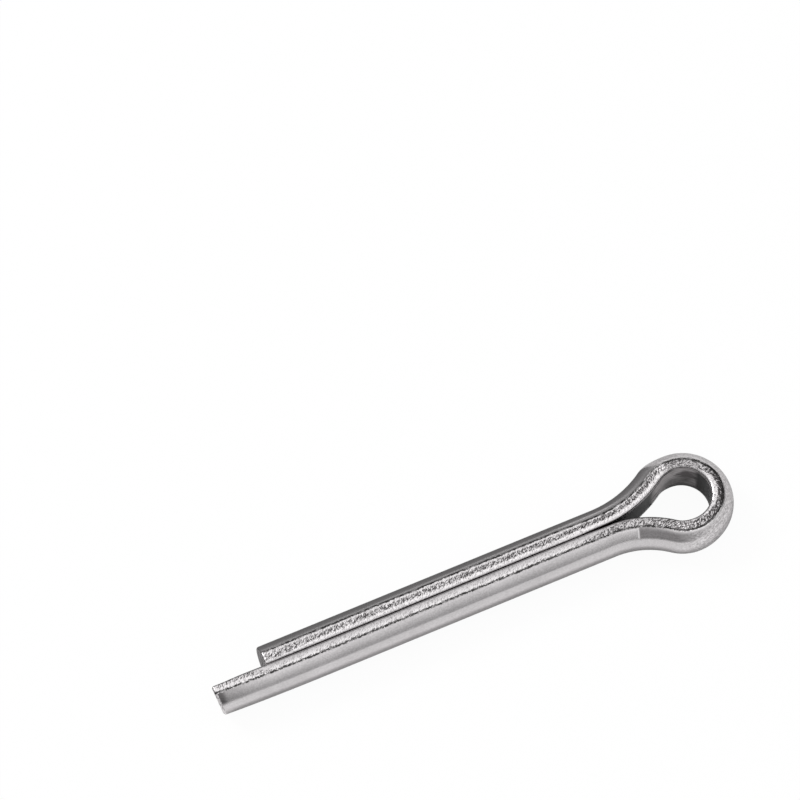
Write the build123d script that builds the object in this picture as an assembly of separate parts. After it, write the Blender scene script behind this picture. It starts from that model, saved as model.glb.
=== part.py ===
from build123d import *
import os
from math import acos, cos, degrees, pi, radians, sin, sqrt

# Split pin (cotter pin) to ISO 1234, size 4 x 28, bent from one length of half-round steel wire.
# The wire's flat side faces inward: it lines the eye, and the two legs lie flat to flat as a round shank.
# +X runs along the shank from the legs to the eye, Y across the two legs, and +Z up out of the eye's plane.
# The origin is on the shank's axis, where the straight legs end and curve out into the eye.

# Driving dimensions, mm
HOLE_DIAMETER = 4.0          # nominal size: the hole that the shank goes through
SHANK_CLEARANCE = 0.35       # how much narrower the shank is than the hole
SHANK_LENGTH = 27.0          # from the seat, where the eye stops on the hole's rim, to the short leg's end
LEG_OVERHANG = 4.0           # how far the long leg runs past the short one
LEG_GAP = 0.06               # air left between the two flats
EYE_RADIUS = 1.94            # flat side of the wire, inside the eye
NECK_RADIUS = 8.5            # flat side of the wire, where a leg curves out into the eye
EDGE_TRIM = 0.16             # flattens the round shank by this much, above and below
EDGE_ROUND = 0.42            # rounding between the wire's flat side and its trimmed edges
EYE_THINNING = 0.23          # bending thins the wire round the eye by this much
EYE_SPREAD = 0.11            # and makes it taller by this much, above and below
END_ROUND = 0.2              # rounding of the sheared leg ends
LONG_END_SLANT = 8.0         # degrees: the long leg is sheared this far off square, and is longest at its top

SHOULDER_SECTIONS = 6        # sections between a neck and the side of the eye

# The wire's section: in the legs its round side is concentric with the shank.
SHANK_RADIUS = (HOLE_DIAMETER - SHANK_CLEARANCE) / 2
FLAT_OFFSET = LEG_GAP / 2
WIRE_THICKNESS = SHANK_RADIUS - FLAT_OFFSET
WIRE_HALF_HEIGHT = SHANK_RADIUS - EDGE_TRIM
EDGE_WIDTH = sqrt(SHANK_RADIUS**2 - WIRE_HALF_HEIGHT**2) - FLAT_OFFSET

# Each neck leaves its leg parallel to the shank's axis and turns outward until it runs into the eye's arc.
NECK_ANGLE = acos((NECK_RADIUS + FLAT_OFFSET) / (NECK_RADIUS + EYE_RADIUS))
EYE_X = (NECK_RADIUS + EYE_RADIUS) * sin(NECK_ANGLE)

# At the seat the necks' round sides are as far apart as the hole is wide.
NECK_OUTER_RADIUS = NECK_RADIUS - WIRE_THICKNESS
SEAT_ANGLE = acos((NECK_RADIUS + FLAT_OFFSET - HOLE_DIAMETER / 2) / NECK_OUTER_RADIUS)
SEAT_X = NECK_OUTER_RADIUS * sin(SEAT_ANGLE)

SHORT_LEG_LENGTH = SHANK_LENGTH - SEAT_X
LONG_LEG_LENGTH = SHORT_LEG_LENGTH + LEG_OVERHANG


def wire_section(plane, bend_share=0.0):
    """Half-round section with its flat side at the plane's origin and its round side towards the plane's +X.

    bend_share runs from 0, the wire as drawn, to 1, the wire as bending leaves it round the eye.
    """
    thickness = WIRE_THICKNESS - EYE_THINNING * bend_share
    half_height = WIRE_HALF_HEIGHT + EYE_SPREAD * bend_share
    edge_width = EDGE_WIDTH * thickness / WIRE_THICKNESS
    top = Line((0, half_height), (edge_width, half_height))
    round_side = ThreePointArc((edge_width, half_height), (thickness, 0), (edge_width, -half_height))
    bottom = Line((edge_width, -half_height), (0, -half_height))
    flat_side = Line((0, -half_height), (0, half_height))
    face = make_face([top, round_side, bottom, flat_side])
    inner_corners = face.vertices().sort_by(Axis.X)[:2]
    return plane * fillet(inner_corners, EDGE_ROUND)


def neck_plane():
    """Plane across the +Y leg where its neck begins."""
    return Plane((0, FLAT_OFFSET, 0), x_dir=(0, 1, 0), z_dir=(-1, 0, 0))


def eye_plane(angle):
    """Plane across the wire at an angle round the eye from its crown, with +X pointing out of the eye."""
    outward = Vector(cos(angle), sin(angle), 0)
    along = Vector(-sin(angle), cos(angle), 0)
    return Plane(Vector(EYE_X, 0, 0) + outward * EYE_RADIUS, x_dir=outward, z_dir=along)


def leg(length, slant):
    """Straight half of the shank, sheared at its end by a cut that leans back by slant, in degrees, from the top."""
    wire = extrude(wire_section(neck_plane()), length)
    if slant:
        lean = radians(slant)
        shear = Plane((-length, 0, WIRE_HALF_HEIGHT), x_dir=(0, 1, 0), z_dir=(cos(lean), 0, sin(lean)))
        wire = split(wire, bisect_by=shear, keep=Keep.TOP)
    end_face = wire.faces().sort_by(Axis.X)[0]
    return fillet(end_face.edges(), END_ROUND)


def neck():
    """Outward curve between a leg and the eye."""
    centre = Axis((0, FLAT_OFFSET + NECK_RADIUS, 0), (0, 0, 1))
    return revolve(wire_section(neck_plane()), centre, degrees(NECK_ANGLE))


def shoulder():
    """Stretch of the eye's arc where the wire passes from its drawn section to its bent one."""
    sections = []
    for step in range(SHOULDER_SECTIONS):
        share = step / (SHOULDER_SECTIONS - 1)
        angle = pi / 2 + NECK_ANGLE * (1 - share)
        eased_share = (1 - cos(pi * share)) / 2
        sections.append(wire_section(eye_plane(angle), eased_share))
    return loft(sections)


def crown():
    """Outer half of the eye, from one side round to the other."""
    side = wire_section(eye_plane(-pi / 2), bend_share=1.0)
    return revolve(side, Axis((EYE_X, 0, 0), (0, 0, 1)), 180)


def half(leg_length, end_slant=0.0):
    """Leg, neck and shoulder on the +Y side."""
    return leg(leg_length, end_slant) + neck() + shoulder()


def split_pin():
    """The whole pin as one bent wire, with its short leg on the +Y side and its long leg on the -Y side."""
    short_side = half(SHORT_LEG_LENGTH)
    long_side = mirror(half(LONG_LEG_LENGTH, LONG_END_SLANT), about=Plane.XZ)
    return crown() + short_side + long_side


os.makedirs("parts", exist_ok=True)
pin = split_pin()
export_step(pin, "parts/split_pin.step")
print(f"seat at x {SEAT_X:.3f} mm, eye centre at x {EYE_X:.3f} mm, volume {pin.volume:.2f} mm3")
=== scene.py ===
"""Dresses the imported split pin: one bent length of half-round steel wire, in a small white studio.

The wire is a single mesh that follows the legs, the necks and the eye. It carries the marks of how such a
pin is made: the wire is drawn smooth, its edges are rolled and come out grainy, two jaws nip it beside the
eye, and a shear cuts its ends.
"""

import logging
from dataclasses import dataclass, field
from enum import Enum, IntEnum
from math import acos, cos, pi, radians, sin, tan

import bpy
import numpy as np
from mathutils import Matrix, Vector, noise


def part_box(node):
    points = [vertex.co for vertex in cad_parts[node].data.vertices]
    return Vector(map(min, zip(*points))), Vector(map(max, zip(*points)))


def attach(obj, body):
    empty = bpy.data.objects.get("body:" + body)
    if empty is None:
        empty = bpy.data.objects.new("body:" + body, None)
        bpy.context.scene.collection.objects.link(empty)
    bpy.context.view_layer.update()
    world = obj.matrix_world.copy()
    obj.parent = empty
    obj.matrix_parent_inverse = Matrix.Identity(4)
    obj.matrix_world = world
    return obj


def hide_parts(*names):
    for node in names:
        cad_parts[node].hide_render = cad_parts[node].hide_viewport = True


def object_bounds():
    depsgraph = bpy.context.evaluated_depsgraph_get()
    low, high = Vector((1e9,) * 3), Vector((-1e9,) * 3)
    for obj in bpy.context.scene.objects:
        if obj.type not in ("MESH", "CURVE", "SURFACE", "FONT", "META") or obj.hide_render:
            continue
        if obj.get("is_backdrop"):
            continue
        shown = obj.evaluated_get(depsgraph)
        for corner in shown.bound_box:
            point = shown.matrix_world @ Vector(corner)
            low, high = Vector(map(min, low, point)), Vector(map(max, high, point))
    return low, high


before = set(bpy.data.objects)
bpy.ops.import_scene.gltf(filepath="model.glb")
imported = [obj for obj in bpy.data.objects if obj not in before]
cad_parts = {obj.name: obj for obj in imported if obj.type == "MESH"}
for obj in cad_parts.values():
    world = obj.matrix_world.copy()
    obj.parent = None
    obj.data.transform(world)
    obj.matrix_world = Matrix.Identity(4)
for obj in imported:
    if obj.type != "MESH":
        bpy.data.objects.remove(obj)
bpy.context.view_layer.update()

LOG = logging.getLogger("split_pin")
CAD_NODE = "split_pin"
BODY = "root"
PIECE = "split_pin_wire"
MM = 0.001
HALF_TURN = pi
WHITE = "#FFFFFF"

# The mesh's own attributes, which the finishes read: a place on the straight wire, and shares from 0 to 1.
WIRE_PLACE = "wire_place"
BENT = "bent"
PRESSED = "pressed"
CREASE_AND_SHADE = "crease_and_shade"
PITTED = "pitted"
POLISH_HIGHLIGHT = "polished"
PAINTED_SHADE = "painted_shade"

Range = tuple[float, float]
Sizes = tuple[float, float, float]
Feed = bpy.types.NodeSocket | str | float | tuple


def linear(colour: str) -> tuple[float, float, float, float]:
    """Turns an sRGB hex colour into the linear colour that a shader takes.

    Args:
        colour: The colour as "#RRGGBB".

    Returns:
        Linear red, green and blue, and an alpha of 1.
    """
    channels = [int(colour[place : place + 2], 16) / 255 for place in (1, 3, 5)]
    red, green, blue = (c / 12.92 if c <= 0.04045 else ((c + 0.055) / 1.055) ** 2.4 for c in channels)
    return red, green, blue, 1.0


def add_node(
    tree: bpy.types.NodeTree,
    kind: str,
    inputs: dict[str | int, Feed] | list[Feed] | None = None,
    **settings: object,
) -> bpy.types.NodeOutputs:
    """Adds a node, with its settings, values and links.

    Args:
        tree: The node tree that gets the node.
        kind: Blender's name for the node's kind, without "ShaderNode".
        inputs: What feeds each input, by its name or place, or as a list from the first input on. It is an
            output, a plain value, or a colour as "#RRGGBB".
        **settings: The node's own properties.

    Returns:
        The new node's outputs.
    """
    made = tree.nodes.new("ShaderNode" + kind)
    for name, value in settings.items():
        setattr(made, name, value)
    for place, value in inputs.items() if isinstance(inputs, dict) else enumerate(inputs or []):
        if isinstance(value, bpy.types.NodeSocket):
            tree.links.new(value, made.inputs[place])
        else:
            made.inputs[place].default_value = linear(value) if isinstance(value, str) else value
    return made.outputs


def start_material(name: str) -> tuple[bpy.types.Material, bpy.types.NodeTree]:
    """Starts a material.

    Args:
        name: The material's name.

    Returns:
        The material and its empty node tree.
    """
    made = bpy.data.materials.new(name)
    made.use_nodes = True
    made.node_tree.nodes.clear()
    return made, made.node_tree


def seen_plainly(tree: bpy.types.NodeTree) -> bpy.types.NodeSocket:
    """Gives 1 for a ray that comes from the eye, or through something clear, and 0 for any other."""
    ray = add_node(tree, "LightPath")
    return add_node(tree, "Math", [ray["Is Camera Ray"], ray["Is Transmission Ray"]], operation="MAXIMUM")[0]


def add_object(name: str, data: bpy.types.ID) -> bpy.types.Object:
    """Puts a mesh, a lamp or a camera in the scene.

    Args:
        name: The object's name.
        data: The mesh, lamp or camera.

    Returns:
        The new object.
    """
    made = bpy.data.objects.new(name, data)
    bpy.context.scene.collection.objects.link(made)
    return made


def eased(share: np.ndarray) -> np.ndarray:
    """Eases a share that is cut off at 0 and 1."""
    cut = np.clip(share, 0.0, 1.0)
    return cut * cut * (3 - 2 * cut)


@dataclass(frozen=True)
class Ripple:
    """Smooth seeded noise, about -0.7 to 0.7, whose grain has a size in metres along each axis."""

    grain: Sizes
    seed: float

    def at(self, points: np.ndarray) -> np.ndarray:
        """Samples the noise at many points.

        Args:
            points: Points in metres, with three numbers along the last axis.

        Returns:
            One value for each point.
        """
        spots = (points / np.array(self.grain) + self.seed).reshape(-1, 3)
        values = np.fromiter((noise.noise(spot) for spot in spots.tolist()), float, len(spots))
        return values.reshape(points.shape[:-1])


class Zone(Enum):
    """A part of the wire's outline, from the middle of its flat side outward."""

    FLAT = "flat"
    ROUNDING = "rounding"
    LAND = "land"
    CREASE = "crease"
    ARC = "arc"


class Side(Enum):
    """One of the pin's two legs, with its direction along Y."""

    LONG = -1
    SHORT = 1


class Run(IntEnum):
    """A stretch of the wire, in order from the long leg's tip, and the short leg's tip as their end."""

    LONG_LEG = 0
    LONG_NECK = 1
    EYE = 2
    SHORT_NECK = 3
    SHORT_LEG = 4
    END = 5


class Finish(IntEnum):
    """A finish, by its slot on the mesh."""

    DRAWN = 0
    FLAT = 1
    EDGE = 2
    SHEARED = 3


@dataclass(frozen=True)
class Steel:
    """Bare low-carbon steel wire, and what all its finishes share.

    In every finish a field whose name ends in range holds the two values of a pattern that are drawn as 0 and
    as 1. The metal's real grain is a few hundredths of a millimetre wide, which is too fine to show, so the
    fine patterns are drawn 0.06 to 0.16 mm wide.
    """

    def shares(self, tree: bpy.types.NodeTree, *names: str) -> list[bpy.types.NodeSocket]:
        """Reads shares that the mesh carries."""
        return [add_node(tree, "Attribute", attribute_name=name)["Fac"] for name in names]

    def grain(
        self, tree: bpy.types.NodeTree, sizes: Sizes, slant: float = 0.0, **inputs: float
    ) -> bpy.types.NodeSocket:
        """Draws noise along the wire.

        Args:
            tree: The material's tree.
            sizes: The grain's length, width and height, in metres.
            slant: How far the grain is turned away from the wire's length, in radians.
            **inputs: The noise's detail, roughness and distortion.

        Returns:
            The noise, about 0.3 to 0.7.
        """
        place = add_node(tree, "Attribute", attribute_name=WIRE_PLACE)["Vector"]
        turned = add_node(tree, "Mapping", {"Vector": place, "Rotation": (0.0, 0.0, slant)})[0]
        scale = tuple(1 / size for size in sizes)
        spread = add_node(tree, "Mapping", {"Vector": turned, "Scale": scale})[0]
        values = {name.capitalize(): value for name, value in inputs.items()}
        return add_node(tree, "TexNoise", {"Vector": spread, "Scale": 1.0, **values})["Fac"]

    def layered(
        self, tree: bpy.types.NodeTree, colour: Feed, *layers: tuple[bpy.types.NodeSocket, Feed]
    ) -> bpy.types.NodeSocket:
        """Lays colours over one another.

        Args:
            tree: The material's tree.
            colour: The lowest colour.
            *layers: From the lowest up, each layer's share and its colour.

        Returns:
            The colour that they give.
        """
        for share, over in layers:
            colour = add_node(tree, "Mix", {"Factor": share, 6: colour, 7: over}, data_type="RGBA")[2]
        return colour

    def close(
        self, tree: bpy.types.NodeTree, colour: Feed, roughness: Feed, *reliefs: tuple[Feed, float, Feed]
    ) -> None:
        """Ends a material in a metal shader.

        Args:
            tree: The material's tree.
            colour: The base colour.
            roughness: The roughness.
            *reliefs: From the lowest up, each relief's height from 0 to 1, what a height of 1 stands for in
                metres, and how much of the relief shows.
        """
        normal = {}
        for height, depth, strength in reliefs:
            inputs = {"Height": height, "Distance": depth, "Strength": strength, **normal}
            normal = {"Normal": add_node(tree, "Bump", inputs)[0]}
        inputs = {"Base Color": colour, "Metallic": 1.0, "Roughness": roughness, **normal}
        shader = add_node(tree, "BsdfPrincipled", inputs)[0]
        add_node(tree, "OutputMaterial", {"Surface": shader})


@dataclass(frozen=True)
class DrawnRound(Steel):
    """Steel cold-drawn through a die, on the wire's round side: satin, with faint drawing lines.

    The satin shows the table and the light as soft bands along each leg, and the lines break them up a
    little. Round the eye the metal is stretched, and there it is rougher and finely speckled. Where the
    jaws nipped it, it is dull and darker. A pair of shares holds the one on the straight legs and the one
    round the eye.
    """

    colour: str = "#C2BFC0"
    cloud_colour: str = "#D0CDCE"
    speck_colour: str = "#EBE8E9"
    speck_dark: str = "#A6A3A4"
    polished_colour: str = "#FCF9FA"
    rim_shade_colour: str = "#9A9798"
    crease_shade_colour: str = "#393838"
    pressed_colour: str = "#8F8C8D"
    pressed_dark: str = "#7F7C7D"
    roughness: float = 0.17
    stretched_roughness: float = 0.32
    pressed_roughness: float = 0.42
    cloud: float = 2.4 * MM
    cloud_range: Range = (0.3, 0.7)
    line_length: float = 7.0 * MM
    line_width: float = 0.14 * MM
    line_depth: float = 0.0024 * MM
    speck: float = 0.11 * MM
    speck_depth: float = 0.014 * MM
    speck_range: Range = (0.38, 0.62)
    pressed_speck_range: Range = (0.36, 0.56)
    speck_shares: Range = (0.2, 0.75)
    speck_relief: Range = (0.1, 1.0)
    rim_shade_range: Range = (0.42, 0.85)
    rim_shade_shares: Range = (1.0, 0.6)

    def material(self) -> bpy.types.Material:
        """Builds the material.

        Returns:
            The material, which reads how far the wire is bent and pressed, its crease's groove and painted
            shade, and its painted highlight.
        """
        made, tree = start_material("cold_drawn_steel")
        bent, pressed, crease_and_shade, polished = self.shares(tree, BENT, PRESSED, CREASE_AND_SHADE, POLISH_HIGHLIGHT)
        cloud = self.grain(tree, (self.cloud,) * 3, detail=3.0)
        speck = self.grain(tree, (self.speck,) * 3, detail=2.0, roughness=0.6)
        line = self.grain(tree, (self.line_length, self.line_width, self.line_width), detail=3.0)
        cloudy = add_node(tree, "MapRange", [cloud, *self.cloud_range])[0]
        bright = add_node(tree, "MapRange", [speck, *self.speck_range])[0]
        bright_pressed = add_node(tree, "MapRange", [speck, *self.pressed_speck_range])[0]
        speckled = add_node(tree, "MapRange", [bent, 0.0, 1.0, *self.speck_shares])[0]
        colour = self.layered(
            tree,
            self.colour,
            (cloudy, self.cloud_colour),
            (speckled, self.layered(tree, self.speck_dark, (bright, self.speck_colour))),
            (pressed, self.layered(tree, self.pressed_dark, (bright_pressed, self.pressed_colour))),
            # painted shade in the crease, and the darkening where the shear dragged
            (crease_and_shade, self.crease_shade_colour),
            # a painted highlight on the crease's lip and along the jaw's burr
            (polished, self.polished_colour),
        )
        # Painted shade: the wire is darkened along its outline, where it is seen edge on, as a painted
        # reflection of the shaded table next to it.
        edge_on = add_node(tree, "LayerWeight", {"Blend": 0.5})["Facing"]
        slanted = add_node(tree, "MapRange", [edge_on, *self.rim_shade_range])[0]
        rim_shade_amount = add_node(tree, "MapRange", [bent, 0.0, 1.0, *self.rim_shade_shares])[0]
        rim_shade = add_node(tree, "Math", [slanted, rim_shade_amount], operation="MULTIPLY")[0]
        tinted = {"Factor": 1.0, 6: colour, 7: self.layered(tree, WHITE, (rim_shade, self.rim_shade_colour))}
        colour = add_node(tree, "Mix", tinted, data_type="RGBA", blend_type="MULTIPLY")[2]
        rough = add_node(tree, "MapRange", [bent, 0.0, 1.0, self.roughness, self.stretched_roughness])[0]
        rough = add_node(tree, "MapRange", [pressed, 0.0, 1.0, rough, self.pressed_roughness])[0]
        grainy = add_node(tree, "Math", [bent, pressed], operation="MAXIMUM")[0]
        grainy = add_node(tree, "MapRange", [grainy, 0.0, 1.0, *self.speck_relief])[0]
        self.close(tree, colour, rough, (line, self.line_depth, 1.0), (speck, self.speck_depth, grainy))
        return made


@dataclass(frozen=True)
class RolledFlat(Steel):
    """The same steel on the wire's flat side, which a plain roll pressed: duller, with lengthwise roll marks.

    It lines the eye as a darker, streaky grey band, and is painted almost black with shade in the wedge
    between the necks and low inside the eye.
    """

    colour: str = "#E6E1E2"
    streak_colour: str = "#B7B2B3"
    painted_shade_colour: str = "#131212"
    blotch_colour: str = "#6E696A"
    roughness: float = 0.3
    streak_length: float = 2.6 * MM
    streak_width: float = 0.16 * MM
    streak_depth: float = 0.004 * MM
    streak_range: Range = (0.35, 0.62)
    blotch_length: float = 2.2 * MM
    blotch_width: float = 0.7 * MM
    blotch_range: Range = (0.5, 0.62)
    speck: float = 0.12 * MM
    speck_depth: float = 0.006 * MM

    def material(self) -> bpy.types.Material:
        """Builds the material.

        Returns:
            The material, which reads how far painted shade darkens the wire.
        """
        made, tree = start_material("flat_rolled_steel")
        (painted_shade,) = self.shares(tree, PAINTED_SHADE)
        streak = self.grain(tree, (self.streak_length, self.streak_width, self.streak_width), detail=3.0)
        blotch = self.grain(tree, (self.blotch_length, self.blotch_width, self.blotch_width), detail=4.0)
        speck = self.grain(tree, (self.speck,) * 3, detail=3.0)
        smooth = add_node(tree, "MapRange", [streak, *self.streak_range])[0]
        stained = add_node(tree, "MapRange", [blotch, *self.blotch_range])[0]
        # The last layer is painted shade.
        layers = (smooth, self.colour), (stained, self.blotch_colour), (painted_shade, self.painted_shade_colour)
        colour = self.layered(tree, self.streak_colour, *layers)
        reliefs = (streak, self.streak_depth, 1.0), (speck, self.speck_depth, 1.0)
        self.close(tree, colour, self.roughness, *reliefs)
        return made


@dataclass(frozen=True)
class RolledEdge(Steel):
    """The same steel on the wire's edges: burnished by the rolls, with a band of pits that they didn't reach.

    The burnished metal is painted near white as a highlight, under a fine slanting hatch. The pits beside it
    show as dark, dense grain, and the crease under them as a line of painted shade that is broken into
    dashes.
    """

    colour: str = "#B3B0B1"
    hatch_colour: str = "#8D8A8B"
    polished_colour: str = "#F1EEEF"
    grain_colour: str = "#C7C4C5"
    pit_colour: str = "#413E3F"
    crease_shade_colour: str = "#393838"
    painted_shade_colour: str = "#131212"
    roughness: float = 0.21
    pitted_roughness: float = 0.4
    grain_length: float = 0.15 * MM
    grain_width: float = 0.056 * MM
    grain_slant: float = radians(48)
    grain_depth: float = 0.012 * MM
    hatch_depth: float = 0.002 * MM
    hatch_range: Range = (0.38, 0.52)
    pit_range: Range = (0.46, 0.56)
    # Where the pits are densest, as far as their share passes 1, more of the grain lies low and dark.
    dense_range: Range = (1.0, 1.4)
    dense_sink: float = 0.07
    # The borders of the pits' band and of the crease stray by a fine noise of their own.
    border: float = 0.11 * MM
    border_gain: float = 1.6
    border_shift: float = -0.8
    band_range: Range = (0.35, 0.65)
    torn_range: Range = (0.32, 0.58)
    crease_range: Range = (0.0, 0.3)
    dash: float = 0.45 * MM
    dash_range: Range = (0.4, 0.55)
    dash_shares: Range = (0.6, 1.0)

    def material(self) -> bpy.types.Material:
        """Builds the material.

        Returns:
            The material, which reads how far the edge is pitted, its crease's groove and painted shade, its
            burnish and painted highlight, and its painted shade in the wedge and the eye.
        """
        made, tree = start_material("edge_rolled_steel")
        pitted, crease_and_shade, polished, painted_shade = self.shares(tree, PITTED, CREASE_AND_SHADE, POLISH_HIGHLIGHT, PAINTED_SHADE)
        sizes = (self.grain_length, self.grain_width, self.grain_width)
        hatch = self.grain(tree, sizes, self.grain_slant, detail=3.5, roughness=0.72, distortion=0.2)
        border = self.grain(tree, (self.border,) * 3, detail=1.5)
        dash = self.grain(tree, (self.dash, self.dash / 2, self.dash / 2), detail=1.0)
        smooth = add_node(tree, "MapRange", [hatch, *self.hatch_range])[0]
        # Painted highlight: the burnish and the pits' crests are drawn near white.
        bright = self.layered(tree, self.colour, (polished, self.polished_colour))
        burnished = self.layered(tree, self.hatch_colour, (smooth, bright))
        sunk = add_node(tree, "MapRange", [pitted, *self.dense_range, 0.0, self.dense_sink])[0]
        level = add_node(tree, "Math", [hatch, sunk], operation="SUBTRACT")[0]
        proud = add_node(tree, "MapRange", [level, *self.pit_range])[0]
        crest = self.layered(tree, self.grain_colour, (polished, self.polished_colour))
        peeled = self.layered(tree, self.pit_colour, (proud, crest))
        # Each point is pitted outright or not at all, so that the band's borders break up into single pits.
        shift = [border, self.border_gain, self.border_shift]
        ragged = add_node(tree, "Math", shift, operation="MULTIPLY_ADD")[0]
        band = add_node(tree, "Math", [pitted, ragged], operation="ADD")[0]
        band = add_node(tree, "MapRange", [band, *self.band_range])[0]
        # The crease's painted shade is ragged in the same way, and fainter between its dashes.
        torn = add_node(tree, "Math", [crease_and_shade, ragged], operation="ADD")[0]
        torn = add_node(tree, "MapRange", [torn, *self.torn_range])[0]
        inside = add_node(tree, "MapRange", [crease_and_shade, *self.crease_range])[0]
        dashed = add_node(tree, "MapRange", [dash, *self.dash_range, *self.dash_shares])[0]
        shown = add_node(tree, "Math", [inside, dashed], operation="MULTIPLY")[0]
        torn = add_node(tree, "Math", [torn, shown], operation="MULTIPLY")[0]
        # The crease's layer is painted shade, and the last layer is painted shade in the wedge between the
        # necks and low inside the eye.
        layers = (band, peeled), (torn, self.crease_shade_colour), (painted_shade, self.painted_shade_colour)
        colour = self.layered(tree, burnished, *layers)
        rough = add_node(tree, "MapRange", [band, 0.0, 1.0, self.roughness, self.pitted_roughness])[0]
        self.close(tree, colour, rough, (hatch, self.hatch_depth, 1.0), (hatch, self.grain_depth, band))
        return made


@dataclass(frozen=True)
class ShearedEnd(Steel):
    """The same steel where a shear cut it: fresh and bright, with darker torn scores down the cut."""

    colour: str = "#DBD8D9"
    torn_colour: str = "#989596"
    roughness: float = 0.38
    score_width: float = 0.09 * MM
    score_length: float = 1.2 * MM
    score_depth: float = 0.008 * MM
    score_range: Range = (0.38, 0.55)
    score_relief: float = 0.8

    def material(self) -> bpy.types.Material:
        """Builds the material.

        Returns:
            The material.
        """
        made, tree = start_material("sheared_steel")
        score = self.grain(tree, (self.score_width, self.score_width, self.score_length), detail=3.0)
        clean = add_node(tree, "MapRange", [score, *self.score_range])[0]
        colour = self.layered(tree, self.torn_colour, (clean, self.colour))
        self.close(tree, colour, self.roughness, (score, self.score_depth, self.score_relief))
        return made


@dataclass(frozen=True)
class PinPath:
    """The line along which the wire's flat side runs: long leg, neck, eye, neck, short leg, in metres."""

    eye_x: float
    eye_y: float
    eye_radius: float
    half_gap: float
    long_tip: float
    short_tip: float
    neck_radius: dict[Side, float]

    def neck_angle(self, side: Side) -> float:
        """Gives the angle that a neck turns through before it meets the eye."""
        radius = self.neck_radius[side]
        return acos((radius + self.half_gap - side.value * self.eye_y) / (radius + self.eye_radius))

    def neck_start(self, side: Side) -> float:
        """Gives the x at which a straight leg ends and its neck begins."""
        return self.eye_x - (self.neck_radius[side] + self.eye_radius) * sin(self.neck_angle(side))

    def lengths(self) -> list[float]:
        """Measures the runs of the wire.

        Returns:
            The length of each run, in order from the long leg's tip.
        """
        long_turn, short_turn = self.neck_angle(Side.LONG), self.neck_angle(Side.SHORT)
        return [
            self.neck_start(Side.LONG) - self.long_tip,
            self.neck_radius[Side.LONG] * long_turn,
            self.eye_radius * (HALF_TURN + long_turn + short_turn),
            self.neck_radius[Side.SHORT] * short_turn,
            self.neck_start(Side.SHORT) - self.short_tip,
        ]

    def starts(self) -> np.ndarray:
        """Gives the distance at which each run starts, and the whole length at the end."""
        return np.concatenate([[0.0], np.cumsum(self.lengths())])

    def at(self, along: np.ndarray) -> tuple[np.ndarray, np.ndarray]:
        """Finds places on the line.

        Args:
            along: Distances from the long leg's tip.

        Returns:
            The points and the unit vectors that lead outward from the flat side, both in the eye's plane.
        """
        starts = self.starts()
        long_turn, short_turn = self.neck_angle(Side.LONG), self.neck_angle(Side.SHORT)
        run = np.clip(np.searchsorted(starts, along, side="right") - 1, Run.LONG_LEG, Run.SHORT_LEG)
        here = along - starts[run]
        angle = here / self.eye_radius - (HALF_TURN / 2 + long_turn)
        outward = np.stack([np.cos(angle), np.sin(angle)], 1)
        point = np.array([self.eye_x, self.eye_y]) + self.eye_radius * outward
        for side, leg, neck in (
            (Side.LONG, Run.LONG_LEG, Run.LONG_NECK),
            (Side.SHORT, Run.SHORT_LEG, Run.SHORT_NECK),
        ):
            way, radius, start = float(side.value), self.neck_radius[side], self.neck_start(side)
            straight, bend = run == leg, run == neck
            x = self.long_tip + here if side is Side.LONG else start - here
            point[straight] = np.stack([x, np.full_like(x, way * self.half_gap)], 1)[straight]
            outward[straight] = (0.0, way)
            turned = here / radius if side is Side.LONG else short_turn - here / radius
            curve = np.stack([np.sin(turned), -way * np.cos(turned)], 1)
            point[bend] = (np.array([start, way * (self.half_gap + radius)]) + radius * curve)[bend]
            outward[bend] = -curve[bend]
        return point, outward

    def round_eye(self, angle: float) -> float:
        """Gives the distance of the point that lies at an angle round the eye, from its crown, in degrees."""
        turned = radians(angle) + HALF_TURN / 2 + self.neck_angle(Side.LONG)
        return float(self.starts()[Run.EYE]) + self.eye_radius * turned

    def bent_share(self, along: np.ndarray) -> np.ndarray:
        """Says how far the wire has its shape round the eye: none in the necks, all from the eye's sides on.

        Args:
            along: Distances from the long leg's tip.

        Returns:
            The share at each of them.
        """
        starts = self.starts()
        rise = self.eye_radius * self.neck_angle(Side.LONG)
        fall = self.eye_radius * self.neck_angle(Side.SHORT)
        return eased((along - starts[Run.EYE]) / rise) * eased((starts[Run.SHORT_NECK] - along) / fall)


@dataclass(frozen=True)
class Rows:
    """The mesh's rows: each one's distance from the long leg's tip, and how far its outline is drawn in.

    What is worked out for them comes as a column, an array with one value for each row, or as an array that
    has a row for each of them with a value for each of the outline's points.
    """

    path: PinPath
    along: np.ndarray
    inset: np.ndarray

    def bent(self) -> np.ndarray:
        """Gives a column with how far the wire has its shape round the eye."""
        return self.path.bent_share(self.along)[:, None]


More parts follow.
